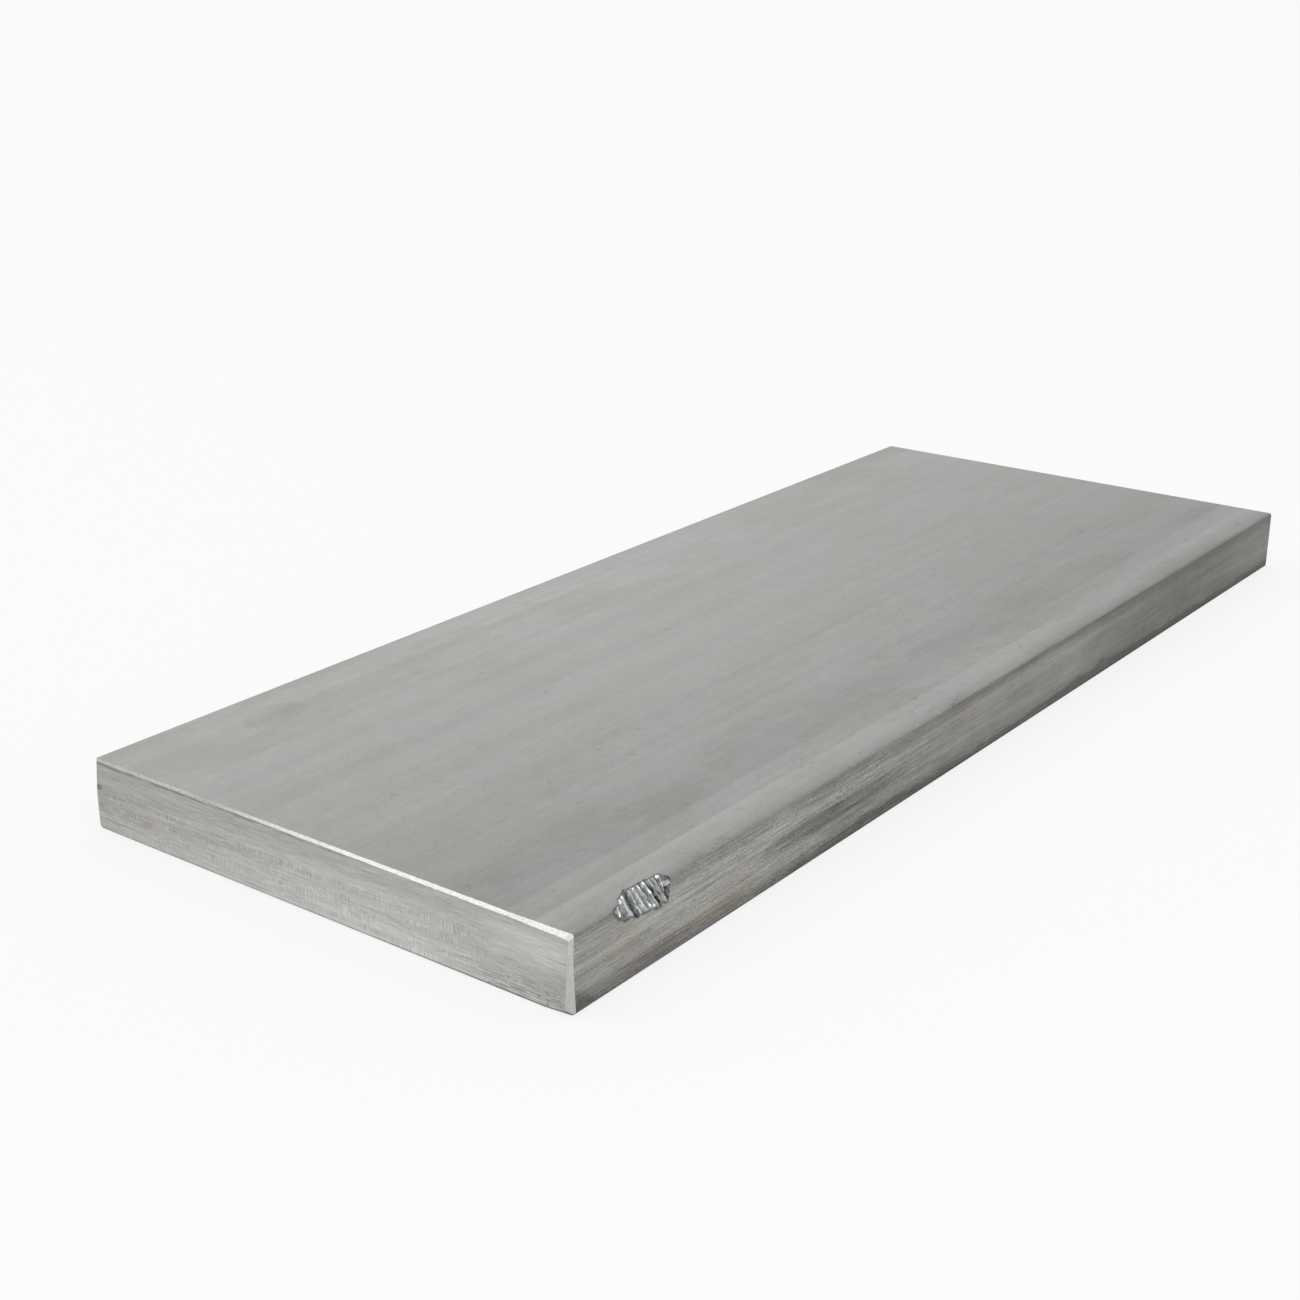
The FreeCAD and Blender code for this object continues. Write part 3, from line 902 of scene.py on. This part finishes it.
def bite_material():
    """Torn bright metal, with painted shade in its recesses, lighter crests as painted highlights,
    and painted glints on the chips.
    """
    g = Graph("torn_metal")
    chip_and_glint = g.attribute("chip_and_glint")
    depth = g.attribute("recess")
    # painted shade and highlight: darker the deeper a point lies in its hollow, lighter on the
    # crests
    painted_shade_tone = g.total(
        g.blend(196.0, 136.0, g.step(depth, 0.0, 0.22)),
        g.product(g.step(depth, 0.45, 0.9), -54.0),
        g.product(g.attribute("rim"), RIM_SHADE),
        g.product(g.noise((0.4, 1.6, 1.6), 1.0, detail=3.0), 60.0),
        g.product(g.noise((2.0, 2.4, 2.4), 2.0), 60.0),
    )
    # painted glints: the chips are near white
    tone = g.blend(painted_shade_tone, 254.0, chip_and_glint)
    relief = g.noise((0.4, 0.9, 0.9), 3.0)
    return g.finish(tone, (0.985, 1.0, 1.0), 0.0, 0.2, relief, 0.06)


for material in (mill_material(), end_material(), filed_material(), bite_material()):
    mesh.materials.append(material)

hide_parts("flat_bar")
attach(bar, "root")


# Floor, light, camera

FLOOR_REACH = 12.0
FLOOR_DROP = 0.0001                 # keeps the floor just clear of the bar's foot
FLOOR_WHITE = 0.92
FLOOR_GLOW = 0.8                    # share of plain white in what is seen directly
SKY_LIGHT = 0.82
SKY_SEEN = 1.0
WHITE = (1, 1, 1, 1)


def seen_directly(tree):
    """1 for what the camera, a reflection or clear glass shows, 0 for light that is spread."""
    path = tree.nodes.new("ShaderNodeLightPath")
    result = path.outputs["Is Camera Ray"]
    for name in ("Is Glossy Ray", "Is Transmission Ray"):
        larger = tree.nodes.new("ShaderNodeMath")
        larger.operation = "MAXIMUM"
        tree.links.new(result, larger.inputs[0])
        tree.links.new(path.outputs[name], larger.inputs[1])
        result = larger.outputs[0]
    return result


def floor_material():
    """White floor that keeps the bar's shadow."""
    material = bpy.data.materials.new("floor")
    material.use_nodes = True
    tree = material.node_tree
    tree.nodes.clear()
    output = tree.nodes.new("ShaderNodeOutputMaterial")
    diffuse = tree.nodes.new("ShaderNodeBsdfDiffuse")
    diffuse.inputs["Color"].default_value = (FLOOR_WHITE, FLOOR_WHITE, FLOOR_WHITE, 1)
    glow = tree.nodes.new("ShaderNodeEmission")
    glow.inputs["Color"].default_value = WHITE
    blend = tree.nodes.new("ShaderNodeMixShader")
    share = tree.nodes.new("ShaderNodeMath")
    share.operation = "MULTIPLY"
    share.inputs[1].default_value = FLOOR_GLOW
    tree.links.new(seen_directly(tree), share.inputs[0])
    tree.links.new(share.outputs[0], blend.inputs["Fac"])
    tree.links.new(diffuse.outputs[0], blend.inputs[1])
    tree.links.new(glow.outputs[0], blend.inputs[2])
    tree.links.new(blend.outputs[0], output.inputs["Surface"])
    return material


floor_corners = [(FLOOR_REACH * x, FLOOR_REACH * y, 0)
                 for x, y in ((-1, -1), (1, -1), (1, 1), (-1, 1))]
floor_mesh = bpy.data.meshes.new("floor")
floor_mesh.from_pydata(floor_corners, [], [(0, 1, 2, 3)])
floor_mesh.materials.append(floor_material())
floor = bpy.data.objects.new("floor", floor_mesh)
floor.location.z = -FLOOR_DROP
bpy.context.scene.collection.objects.link(floor)

world = bpy.data.worlds.new("studio")
bpy.context.scene.world = world
world.use_nodes = True
sky = world.node_tree.nodes["Background"]
sky.inputs["Color"].default_value = WHITE
strength = world.node_tree.nodes.new("ShaderNodeMath")
strength.operation = "MULTIPLY_ADD"
world.node_tree.links.new(seen_directly(world.node_tree), strength.inputs[0])
strength.inputs[1].default_value = SKY_SEEN - SKY_LIGHT
strength.inputs[2].default_value = SKY_LIGHT
world.node_tree.links.new(strength.outputs[0], sky.inputs["Strength"])


def softbox(name, place, target, size, power):
    """A square area light that faces the target."""
    data = bpy.data.lights.new(name, "AREA")
    data.size = size
    data.energy = power
    light = bpy.data.objects.new(name, data)
    light.location = place
    aim = Vector(target) - Vector(place)
    light.rotation_euler = aim.to_track_quat("-Z", "Y").to_euler()
    bpy.context.scene.collection.objects.link(light)


softbox("key", place=(-0.7, 1.15, 1.5), target=(0, 0, 0), size=1.4, power=3.0)
softbox("glint", place=(-0.45, -0.83, 0.62), target=(-0.215, -0.1, 0.02), size=0.16, power=0.6)

CAMERA_PLACE = Vector((-0.62287, -0.41055, 0.28718))
CAMERA_YAW = 0.65024
CAMERA_PITCH = 0.35559
CAMERA_ROLL = -0.00091
FOCAL_LENGTH = 56.296
SENSOR = 36.0

camera_data = bpy.data.cameras.new("camera")
camera_data.sensor_width = SENSOR
camera_data.lens = FOCAL_LENGTH
camera_data.clip_start = 0.01
camera = bpy.data.objects.new("camera", camera_data)
forward = Vector((math.cos(CAMERA_PITCH) * math.cos(CAMERA_YAW),
                  math.cos(CAMERA_PITCH) * math.sin(CAMERA_YAW), -math.sin(CAMERA_PITCH)))
camera.rotation_mode = "QUATERNION"
camera.rotation_quaternion = (forward.to_track_quat("-Z", "Y")
                              @ Quaternion((0, 0, 1), CAMERA_ROLL))
camera.location = CAMERA_PLACE
bpy.context.scene.collection.objects.link(camera)
bpy.context.scene.camera = camera

bpy.context.scene.view_settings.view_transform = "Standard"
